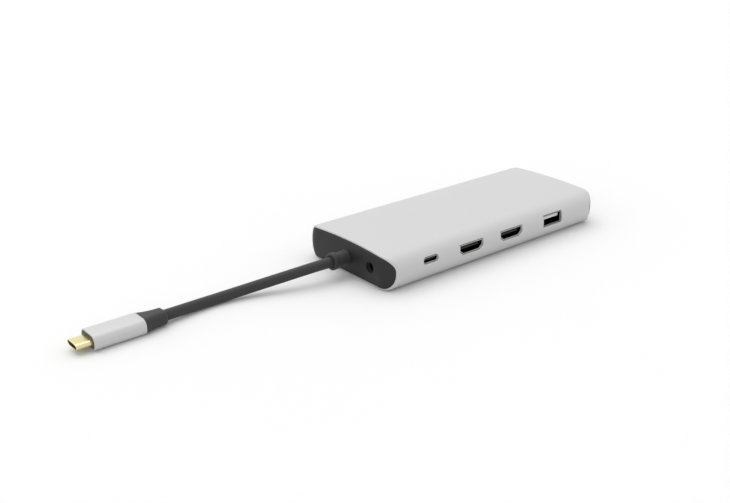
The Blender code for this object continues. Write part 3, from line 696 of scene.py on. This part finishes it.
def cap_surface(size, side, with_jack):
    """An end cap: a rounded edge that follows the sleeve's plan corners, and a face bent the same way.

    The face's grid joins each point of the upper half of the edge to the matching one of the lower
    half by a straight line, and x = reach - set_back(y, z) bends it. The jack's hole replaces a block
    of that grid by loops that change to a circle, round its edge and run in.
    """
    points, normals = housing_section(size)
    count = len(points)
    half = count // 2
    inset = size.wall + size.cap_gap
    reach = size.length / 2 + size.proud
    turn = np.linspace(0, math.pi / 2, 6)
    margin = 0.1
    edge_insets = inset + size.cap_edge * (1 - np.cos(turn))
    insets = np.concatenate([[inset] * 3, edge_insets, [inset + size.cap_edge + margin]])
    ring = points[None] - normals[None] * insets[:, None, None]
    line = reach - set_back(ring[:, :, 0], ring[:, :, 1], size)
    rows = np.empty((len(insets), count, 3))
    rows[:, :, 1:] = ring
    rows[0, :, 0] = CAP_BACK
    rows[1, :, 0] = (line[1] + CAP_BACK) / 2
    rows[2, :, 0] = line[2] - size.cap_edge - margin
    rows[3:-1, :, 0] = line[3:-1] - size.cap_edge * (1 - np.sin(turn))[:, None]
    rows[-1, :, 0] = line[-1]
    index = np.arange(rows.shape[0] * count).reshape(rows.shape[:2])
    faces = grid_faces(index).tolist() + [index[0].tolist()]
    all_points = [rows.reshape(-1, 3)]
    total = rows.shape[0] * count

    last = rows[-1]
    top = last[:half + 1]
    below = (count - np.arange(half + 1)) % count
    low = last[below]
    v = np.linspace(0, 1, CAP_LEVELS + 1)[1:-1, None, None]
    inside = top[None, 1:-1] + (low - top)[None, 1:-1] * v
    inside[:, :, 0] = reach - set_back(inside[:, :, 1], inside[:, :, 2], size)
    table = np.empty((CAP_LEVELS + 1, half + 1), int)
    table[0] = index[-1, :half + 1]
    table[-1] = index[-1, below]
    table[:, 0], table[:, -1] = index[-1, 0], index[-1, half]
    table[1:-1, 1:-1] = total + np.arange(inside.shape[0] * inside.shape[1]).reshape(inside.shape[:2])
    all_points.append(inside.reshape(-1, 3))
    total += inside.shape[0] * inside.shape[1]
    quads = np.stack([table[:-1, :-1], table[:-1, 1:], table[1:, 1:], table[1:, :-1]], axis=-1)
    keep = np.ones(quads.shape[:2], bool)
    keep[:, (0, -1)] = False
    faces += np.stack([table[:-1, 0], table[:-1, 1], table[1:, 1]], axis=-1).tolist()
    faces += np.stack([table[:-1, -2], table[:-1, -1], table[1:, -2]], axis=-1).tolist()

    if with_jack:
        where = np.vstack(all_points)[table]
        column = where[CAP_LEVELS // 2, :, 1]
        j0 = int(np.flatnonzero(column >= size.jack_y + JACK_BLOCK[0])[-1])
        j1 = int(np.flatnonzero(column <= size.jack_y - JACK_BLOCK[0])[0])
        height = where[:, (j0 + j1) // 2, 2]
        i0 = int(np.flatnonzero(height >= size.jack_z + JACK_BLOCK[1])[-1])
        i1 = int(np.flatnonzero(height <= size.jack_z - JACK_BLOCK[1])[0])
        keep[i0:i1, j0:j1] = False
        i, j = block_loop((i0, i1), (j0, j1), half + 1)
        edge = where[i, j][:, 1:] - (size.jack_y, size.jack_z)
        a = np.arctan2(edge[:, 1], edge[:, 0])
        circle = np.stack([np.cos(a), np.sin(a)], axis=1)
        wide = JACK_HOLE + JACK_ROUND + 0.02
        flat = [edge + (circle * wide - edge) * t for t in (0.4, 0.75, 0.95)]
        rounded = [circle * (JACK_HOLE + JACK_ROUND * (1 - math.sin(b))) for b in EDGE_TURNS]
        loops = np.array(flat + rounded + [circle * JACK_HOLE])
        loops += (size.jack_y, size.jack_z)
        deeper = np.concatenate([np.zeros(len(flat)), JACK_ROUND * (1 - np.cos(EDGE_TURNS)), [JACK_DEPTH]])
        level = reach - deeper[:, None] - set_back(loops[:, :, 0], loops[:, :, 1], size)
        loops = np.concatenate([level[:, :, None], loops], axis=2)
        fresh = total + np.arange(loops.shape[0] * loops.shape[1]).reshape(loops.shape[:2])
        all_points.append(loops.reshape(-1, 3))
        faces += grid_faces(np.vstack([table[i, j][None], fresh])).tolist() + [fresh[-1].tolist()]

    faces += quads[keep].tolist()
    everything = np.vstack(all_points)
    everything[:, 0] *= side
    return everything, faces


# Ports

def even_outline(corners, radius, points=96):
    """A rounded outline read at even angles, so that any two of them can be joined loop to loop."""
    angles = np.linspace(-math.pi, math.pi, points, endpoint=False)
    return outline_at(round_corners(corners, radius, ARC_STEPS), angles, ARC_STEPS)


def shell_surface(kind, x, z, side):
    """A drawn shell: out along its outside, round the mouth's edge, in along its inside to the floor."""
    smallest_corner = 0.32
    radius = max(kind.radius - CLEARANCE, smallest_corner)
    outline = even_outline(port_corners(*kind.size, kind.cut), radius)
    normals = outward(outline)
    sheet, deep = kind.sheet, kind.depth
    edge = min(sheet / 2, 0.14)
    stops = (
        (0.0, deep), (0.0, deep * 0.5), (0.0, 3 * edge), (0.0, edge), (edge * 0.3, edge * 0.3),
        (edge, 0.0), (sheet - edge, 0.0), (sheet - edge * 0.3, edge * 0.3), (sheet, edge),
        (sheet, 3 * edge), (sheet, deep * 0.5), (sheet, deep - kind.floor),
    )
    rows = [placed(outline - normals * inset, "y", side * (kind.mouth - depth), (x, z))
            for inset, depth in stops]
    return carried(rows)


def tongue_surface(width, height, x, z, mouth, depths, side):
    """A tongue with a bevelled nose: its outline grows over the first half millimetre, then stays."""
    stops = ((0.55, 0.0), (0.25, 0.06), (0.08, 0.25), (0.0, 0.5), (0.0, depths[1] - depths[0]))
    rows = []
    for inset, depth in stops:
        outline = even_outline(rectangle(width - inset * height, height * (1 - inset)), 0.12 * height, 48)
        rows.append(placed(outline, "y", side * (mouth - depths[0] - depth), (x, z)))
    return carried(rows)


def bars(middles, size):
    """Small bars of one size with bevelled ends, one about each middle, as one surface."""
    base = np.asarray(size, float) / 2
    taper = np.array(((0.6, -1.0), (1.0, -0.82), (1.0, 0.82), (0.6, 1.0)))
    corners = rectangle(2.0, 2.0)
    rows = np.empty((4, 4, 3))
    rows[:, :, 0] = corners[None, :, 0] * base[0] * taper[:, :1]
    rows[:, :, 2] = corners[None, :, 1] * base[2] * taper[:, :1]
    rows[:, :, 1] = (taper[:, 1] * base[1])[:, None]
    return joined([carried(rows + np.asarray(middle)) for middle in middles])


def leaf_spring(x, z, lift, width, mouth, span, side):
    """A leaf pressed out of the shell: a thin strip along Y whose height swells as sin(pi t)^2."""
    steps, thickness = 16, 0.12
    t = np.linspace(0, 1, steps)
    bow = lift * np.sin(math.pi * t) ** 2
    section = rectangle(width, thickness)
    rows = np.empty((steps, 4, 3))
    rows[:, :, 0] = x + section[None, :, 0]
    rows[:, :, 2] = z + section[None, :, 1] + bow[:, None]
    rows[:, :, 1] = (side * (mouth - span[0] - (span[1] - span[0]) * t))[:, None]
    return carried(rows)


def port_inside(kind_name, x, z, side):
    """A port's tongue and contacts, and its springs, a list that is empty where a port has none."""
    kind = KINDS[kind_name]
    mouth, deep = kind.mouth, kind.depth - kind.floor
    low, high = -kind.size[1] / 2 + LEAF_SEAT, kind.size[1] / 2 - LEAF_SEAT

    def tongue(width, height, lift, front, back=deep):
        return tongue_surface(width, height, x, z + lift, mouth, (front, back), side)

    def row(offsets, depth, lift):
        return [(x + offset, side * (mouth - depth), z + lift) for offset in offsets]

    def leaf(offset, height, lift, width, span):
        return leaf_spring(x + offset, z + height, lift, width, mouth, span, side)

    if kind_name == "usb_c":
        offsets = 0.5 * np.arange(12) - 2.75
        contacts = bars(row(offsets, 3.2, -0.36) + row(offsets, 3.2, 0.36), (0.26, 3.4, 0.06))
        return tongue(6.6, 0.7, 0.0, 0.8), contacts, []
    if kind_name == "hdmi":
        spots = row(np.arange(10) - 4.5, 4.8, 0.82) + row(np.arange(9) - 4.0, 4.8, -0.22)
        springs = [leaf(offset, height, bend, 1.7, (1.2, 7.0))
                   for offset in (-3.4, 3.4) for height, bend in ((low, 0.45), (high, -0.45))]
        return tongue(11.0, 1.0, 0.3, 1.0), bars(spots, (0.45, 6.4, 0.08)), springs
    if kind_name == "usb_a":
        contacts = bars(row((-3.5, -1.0, 1.0, 3.5), 5.6, 0.12), (1.0, 6.5, 0.12))
        springs = [leaf(offset, low, 0.6, 2.2, (1.6, 9.5)) for offset in (-3.2, 3.2)]
        return tongue(11.2, 1.7, 1.0, 0.9), contacts, springs
    if kind_name == "ethernet":
        contacts = bars(row(1.02 * np.arange(8) - 3.57, 9.4, -0.75), (0.4, 8.6, 0.3))
        springs = [leaf(offset, -4.25, 0.5, 1.8, (1.0, 8.0)) for offset in (-4.4, 4.4)]
        return tongue(11.6, 3.2, -2.6, 10.4, deep - 0.1), contacts, springs
    contacts = bars(row(2.0 * np.arange(9) - 8.0, 17.4, -0.35), (1.0, 4.0, 0.2))
    return tongue(24.4, 1.2, -0.45, 19.0, deep - 0.1), contacts, []


# Lead

def route_points(count):
    """The lead's middle line, evenly by length, off a Catmull-Rom curve through its route, and its length."""
    knots = ROUTE / MM
    padded = np.vstack([2 * knots[:1] - knots[1:2], knots, 2 * knots[-1:] - knots[-2:-1]])
    t = np.linspace(0, 1, 24, endpoint=False)[None, :, None]
    a, b, c, d = (padded[k:len(padded) - 3 + k][:, None] for k in range(4))
    fine = 0.5 * (2 * b + (c - a) * t + (2 * a - 5 * b + 4 * c - d) * t ** 2
                  + (3 * b - a - 3 * c + d) * t ** 3)
    fine = np.vstack([fine.reshape(-1, 3), knots[-1:]])
    travel = np.concatenate([[0], np.cumsum(np.linalg.norm(np.diff(fine, axis=0), axis=1))])
    wanted = np.linspace(0, travel[-1], count)
    return np.stack([np.interp(wanted, travel, fine[:, k]) for k in range(3)], axis=1), travel[-1]


def tube_rows(line, radius, segments=40):
    """Circles carried along a line: each lies across the line's direction, its top kept upwards."""
    along = np.gradient(line, axis=0)
    along /= np.linalg.norm(along, axis=1, keepdims=True)
    across = np.cross(along, (0.0, 0.0, 1.0))
    across /= np.linalg.norm(across, axis=1, keepdims=True)
    above = np.cross(across, along)
    a = np.linspace(0, 2 * math.pi, segments, endpoint=False)[None, :, None]
    return line[:, None] + radius * (across[:, None] * np.cos(a) + above[:, None] * np.sin(a))


def plug_loop(width, height, radius, x, lead):
    """A rounded loop of the plug at this x."""
    outline = even_outline(rectangle(width, height), min(radius, height / 2 - 0.01), 96)
    return placed(outline, "x", x, (lead.plug_y, lead.plug_z))


def plug_rows(size, radius, stops, lead):
    """Loops of the plug of one size, each drawn in by its inset, one for each (inset, x)."""
    return [plug_loop(size[0] - 2 * inset, size[1] - 2 * inset, radius - inset, x, lead)
            for inset, x in stops]


def collar_rows(lead):
    """The turned strain relief: a flange in the cap, a groove, and a rounded end with a recess."""
    profile = softened((
        (-60.0, 0.6), (-60.0, 2.7), (-69.95, 2.7), (-69.95, 3.75), (-70.6, 3.5), (-74.7, 3.35), (-75.1, 3.2),
        (-75.5, 3.3), (-76.0, 3.95), (-78.6, 4.0), (-78.6, 2.75), (-77.4, 2.65), (-77.4, 0.6),
    ), (0.3, 0.1, 0.1, 0.25, 0.3, 0.12, 0.12, 0.35, 0.55, 0.22, 0.15))
    return turned(profile, (0.0, lead.height))


def sleeve_rows(lead):
    """The plug's aluminium sleeve: a tube with rounded edges, out along its outside and back inside."""
    wall, edge, inner_edge = 0.5, 0.22, 0.1
    back, face = lead.back, lead.face
    stops = (
        (0.0, back - edge), (0.0, back - 2.0), (0.0, (back + face) / 2), (0.0, face + 0.8),
        (0.0, face + edge), (edge * 0.3, face + edge * 0.3), (edge, face), (wall - inner_edge, face),
        (wall, face + inner_edge), (wall, face + 1.5), (wall, back - 1.0), (wall, back - inner_edge),
        (wall - inner_edge, back),
        (edge, back), (edge * 0.3, back - edge * 0.3),
    )
    return plug_rows((lead.plug_width, lead.plug_height), lead.plug_corner, stops, lead)


def insert_rows(lead, face):
    """The insert in the plug's face, with a slot that leaves 0.15 mm round the metal tip."""
    gap = 0.58
    size = (lead.plug_width - 2 * gap, lead.plug_height - 2 * gap)
    stops = ((0.0, face + 1.4), (0.0, face + 0.15), (0.15, face), (0.5, face))
    rows = plug_rows(size, lead.plug_corner - gap, stops, lead)
    return rows + [plug_loop(8.55, 2.7, 1.35, x, lead) for x in (face, face + 1.4)]


def tip_rows(lead, face):
    """The plug's metal tip, a thin tube with a rolled front edge."""
    wall, front = 0.2, lead.tip
    stops = (
        (0.0, face + 3.0), (0.0, lead.face), (0.0, front + 1.6), (0.0, front + 0.3), (0.03, front + 0.06),
        (0.08, front), (0.15, front), (wall, front + 0.06), (wall, front + 0.4), (wall, face + 3.0),
    )
    return plug_rows((8.25, 2.4), 1.19, stops, lead)


def core_rows(lead, face):
    """The black core in the tip, hollow from the front."""
    lip, front = 0.34, lead.tip + 0.6
    stops = (
        (0.0, face + 2.8), (0.0, front + 0.15), (0.1, front), (0.22, front), (lip, front + 0.2),
        (lip, lead.tip + 5.2),
    )
    return plug_rows((7.5, 1.66), 0.82, stops, lead)


def tip_contacts(lead):
    """Two rows of contacts in the core's hollow, 0.5 mm apart and 3 mm long along X."""
    spots = [(lead.plug_y - 2.75 + 0.5 * k, lead.tip + 2.6, lead.plug_z + up * 0.44)
             for k in range(12) for up in (-1, 1)]
    points, faces = bars(spots, (0.26, 3.0, 0.1))
    return points[:, (1, 0, 2)], faces


def boot_rows(lead):
    """The boot: a step into the sleeve, an eased taper to a rounded end, and the recess for the lead."""
    start = (lead.plug_width - 0.3, lead.plug_height - 0.3)
    end, end_corner, rounding = (8.6, 6.3), 3.1, 0.75
    t = np.linspace(0, 1, 22)
    x = lead.back + 0.1 + (lead.boot - rounding - lead.back - 0.1) * t
    ease = 1 - (1 - t) ** 2.4
    width, height = (a + (b - a) * ease for a, b in zip(start, end))
    rows = [plug_loop(9.0, 4.0, 1.9, lead.back - 0.2, lead)]
    rows += [plug_loop(*one, lead) for one in zip(width, height, 2.75 + 0.35 * ease, x)]
    turns = np.radians((25, 50, 75, 90))
    stops = zip(rounding * (1 - np.cos(turns)), lead.boot - rounding * (1 - np.sin(turns)))
    rows += plug_rows(end, end_corner, stops, lead)
    recess = ((2.75, lead.boot), (2.62, lead.boot - 0.12), (2.62, lead.boot - 1.3))
    return rows + [plug_loop(2 * radius + 0.02, 2 * radius, radius, x, lead) for radius, x in recess]


# Operators

class DOCK_OT_stage(bpy.types.Operator):
    """Add the floor, the light, the world and the camera"""

    bl_idname = "dock.stage"
    bl_label = "Stage"

    def execute(self, context):
        stage = context.scene.dock_stage
        sky = bpy.data.worlds.new("soft_sky")
        sky.use_nodes = True
        ground = sky.node_tree.nodes["Background"]
        ground.inputs["Color"].default_value = (1.0, 1.0, 1.0, 1.0)
        ground.inputs["Strength"].default_value = stage.sky
        context.scene.world = sky
        context.scene.view_settings.view_transform = "Standard"

        sides, reach, level = 96, 4.0, -0.00003
        a = np.linspace(0, 2 * math.pi, sides, endpoint=False)
        ring = np.stack([reach * np.cos(a), reach * np.sin(a), np.full(sides, level)], axis=1)
        mesh = bpy.data.meshes.new("floor")
        mesh.from_pydata(ring.tolist(), [], [list(range(sides))])
        board = grained("painted_board", colours().floor, "#DDDDDD", 200.0, (0.8, 0.9), 2.0, 0.01)
        mesh.materials.append(board)
        floor = bpy.data.objects.new("floor", mesh)
        context.scene.collection.objects.link(floor)

        lamp = bpy.data.lights.new("key_light", "SUN")
        lamp.energy = stage.key
        lamp.angle = stage.spread
        holder = bpy.data.objects.new("key_light", lamp)
        holder.location = (0.0, 0.4, 1.0)
        holder.rotation_euler = (stage.tilt, 0.0, 0.0)
        context.scene.collection.objects.link(holder)

        lens = bpy.data.cameras.new("camera")
        lens.lens = stage.lens
        lens.sensor_width = 36.0
        lens.clip_start = 0.01
        camera = bpy.data.objects.new("camera", lens)
        camera.location = stage.camera_at
        camera.rotation_euler = (math.pi / 2 - stage.elevation, 0.0, stage.azimuth)
        context.scene.collection.objects.link(camera)
        context.scene.camera = camera
        return {"FINISHED"}


class DOCK_OT_lead(bpy.types.Operator):
    bl_idname = "dock.lead"
    bl_label = "Lead and plug"

    def execute(self, context):
        lead = millimetres(context.scene.dock_lead)
        rubber, metal = lead_elastomer(), anodised_aluminium()
        line, length = route_points(140)
        insert_face = lead.face + 0.65
        jacket = piece("lead_jacket", carried(tube_rows(line, lead.radius)), rubber,
                       ("cable",))
        gland = piece("lead_collar", carried(collar_rows(lead)), rubber, ("strain_relief",))
        sleeve = piece("plug_housing", carried(sleeve_rows(lead), closed=True), metal,
                       ("plug_sleeve",))
        insert = piece("plug_face", carried(insert_rows(lead, insert_face), closed=True), moulded_olive(),
                       ("plug_face_insert",))
        shell = piece("plug_tip_shell", carried(tip_rows(lead, insert_face), closed=True), gold_plate(),
                      ("plug_shell",))
        core = piece("plug_tip_core", carried(core_rows(lead, insert_face)), contact_insulator(),
                     ("plug_core",))
        pins = piece("plug_tip_contacts", tip_contacts(lead), contact_gold())
        boot = piece("plug_strain_boot", carried(boot_rows(lead)), rubber, ("plug_boot",))

        return {"FINISHED"}


class DOCK_OT_housing(bpy.types.Operator):
    """Add the aluminium sleeve and the two end caps"""

    bl_idname = "dock.housing"
    bl_label = "Housing"

    def execute(self, context):
        size = millimetres(context.scene.dock_housing)
        piece("housing_skin", sleeve_surface(size), anodised_aluminium(),
              ("housing_sleeve",), sharp=50.0)
        for name, side, with_jack, node in (
            ("lead_end_cover", -1, True, "cable_end_cap"),
            ("far_end_cover", 1, False, "far_end_cap"),
        ):
            piece(name, cap_surface(size, side, with_jack), moulded_abs(),
                  (node,), sharp=50.0)
        return {"FINISHED"}


class DOCK_OT_ports(bpy.types.Operator):
    """Add the ports' shells, tongues, springs and contacts"""

    bl_idname = "dock.ports"
    bl_label = "Ports"

    def execute(self, context):
        nickel, shade_painted_plate, gold = nickel_plate(), port_plate_painted_shade(), contact_gold()
        black, pale = contact_insulator(), pale_insulator()
        cans = {"ethernet": "ethernet_shield", "card_reader": "card_reader_cover"}
        blades = {"ethernet": "ethernet_insert", "card_reader": "card_reader_base"}
        for name, kind_name, x, z, side in PORTS:
            # The shells of the front ports and the back USB ports take the plating with painted shade inside
            plate = nickel if kind_name in ("ethernet", "card") else shade_painted_plate
            can = shell_surface(KINDS[kind_name], x, z, side)
            tongue, contacts, springs = port_inside(kind_name, x, z, side)
            piece(f"{name}_can", can, plate, (cans.get(name, f"{name}_shell"),))
            finish, slot = (pale, "usb_insulator") if kind_name == "usb_a" else (black, "contact_insulator")
            piece(f"{name}_blade", tongue, finish, (blades.get(name, f"{name}_tongue"),))
            piece(f"{name}_contacts", contacts, gold)
            if springs:
                piece(f"{name}_springs", joined(springs), plate)
        return {"FINISHED"}


class DOCK_OT_audio_jack(bpy.types.Operator):
    """Add the audio jack's lined bore and its spring contact"""

    bl_idname = "dock.audio_jack"
    bl_label = "Audio jack"

    def execute(self, context):
        size = millimetres(context.scene.dock_housing)
        middle = (size.jack_y, size.jack_z)
        profile = softened((
            (-62.8, 0.3), (-62.8, 2.42), (-69.2, 2.42), (-69.2, 2.05), (-68.6, 1.85), (-63.4, 1.8),
            (-63.4, 0.3),
        ), (0.1, 0.15, 0.12, 0.1, 0.1))
        piece("jack_liner", carried(turned(profile, middle, 48)), contact_insulator(),
              ("audio_jack_ring",))
        steps, front, length, lift, bend = 14, -68.4, 4.6, 1.62, 0.5
        t = np.linspace(0, 1, steps)
        section = rectangle(0.7, 0.15)
        rows = np.empty((steps, 4, 3))
        rows[:, :, 0] = (front + length * t)[:, None]
        rows[:, :, 1] = middle[0] + section[None, :, 0]
        rows[:, :, 2] = middle[1] + lift + section[None, :, 1] - (bend * np.sin(math.pi * t) ** 2)[:, None]
        piece("jack_spring", carried(rows), nickel_plate())
        return {"FINISHED"}


class DOCK_OT_frame_finishes(bpy.types.Operator):
    """Give every CAD node that is kept the finish of its material slot"""

    bl_idname = "dock.frame_finishes"
    bl_label = "Inner pieces"

    def execute(self, context):
        finishes = frame_finishes()
        slots = {entry["node"]: entry["material_slot"] for entry in frame["record"]["subparts"]}
        for name, thing in frame["nodes"].items():
            if thing.hide_render:
                continue
            thing.data.materials.clear()
            thing.data.materials.append(finishes[slots[name]])
        return {"FINISHED"}


class DOCK_PT_panel(bpy.types.Panel):
    """Lists the docking station's sizes and its operators"""

    bl_idname = "DOCK_PT_panel"
    bl_label = "Docking station"
    bl_space_type = "VIEW_3D"
    bl_region_type = "UI"
    bl_category = "Dock"

    def draw(self, context):
        scene = context.scene
        for group in (scene.dock_housing, scene.dock_lead, scene.dock_colours, scene.dock_stage):
            box = self.layout.box()
            for key in group.bl_rna.properties.keys():
                if key not in ("rna_type", "name"):
                    box.prop(group, key)
        for operator in OPERATORS:
            self.layout.operator(operator.bl_idname)


GROUPS = (
    ("dock_housing", DockHousing),
    ("dock_lead", DockLead),
    ("dock_colours", DockColours),
    ("dock_stage", DockStage),
)
OPERATORS = (
    DOCK_OT_stage,
    DOCK_OT_lead,
    DOCK_OT_housing,
    DOCK_OT_ports,
    DOCK_OT_audio_jack,
    DOCK_OT_frame_finishes,
)


def register():
    """Register the classes and attach the property groups to the scene."""
    for name, group in GROUPS:
        bpy.utils.register_class(group)
        setattr(bpy.types.Scene, name, PointerProperty(type=group))
    for operator in OPERATORS:
        bpy.utils.register_class(operator)
    bpy.utils.register_class(DOCK_PT_panel)


def unregister():
    """Undo register."""
    bpy.utils.unregister_class(DOCK_PT_panel)
    for operator in reversed(OPERATORS):
        bpy.utils.unregister_class(operator)
    for name, group in reversed(GROUPS):
        delattr(bpy.types.Scene, name)
        bpy.utils.unregister_class(group)


def main():
    """Build everything in order."""
    register()
    for operator in OPERATORS:
        section, call = operator.bl_idname.split(".")
        getattr(getattr(bpy.ops, section), call)()


if __name__ == "__main__":
    main()
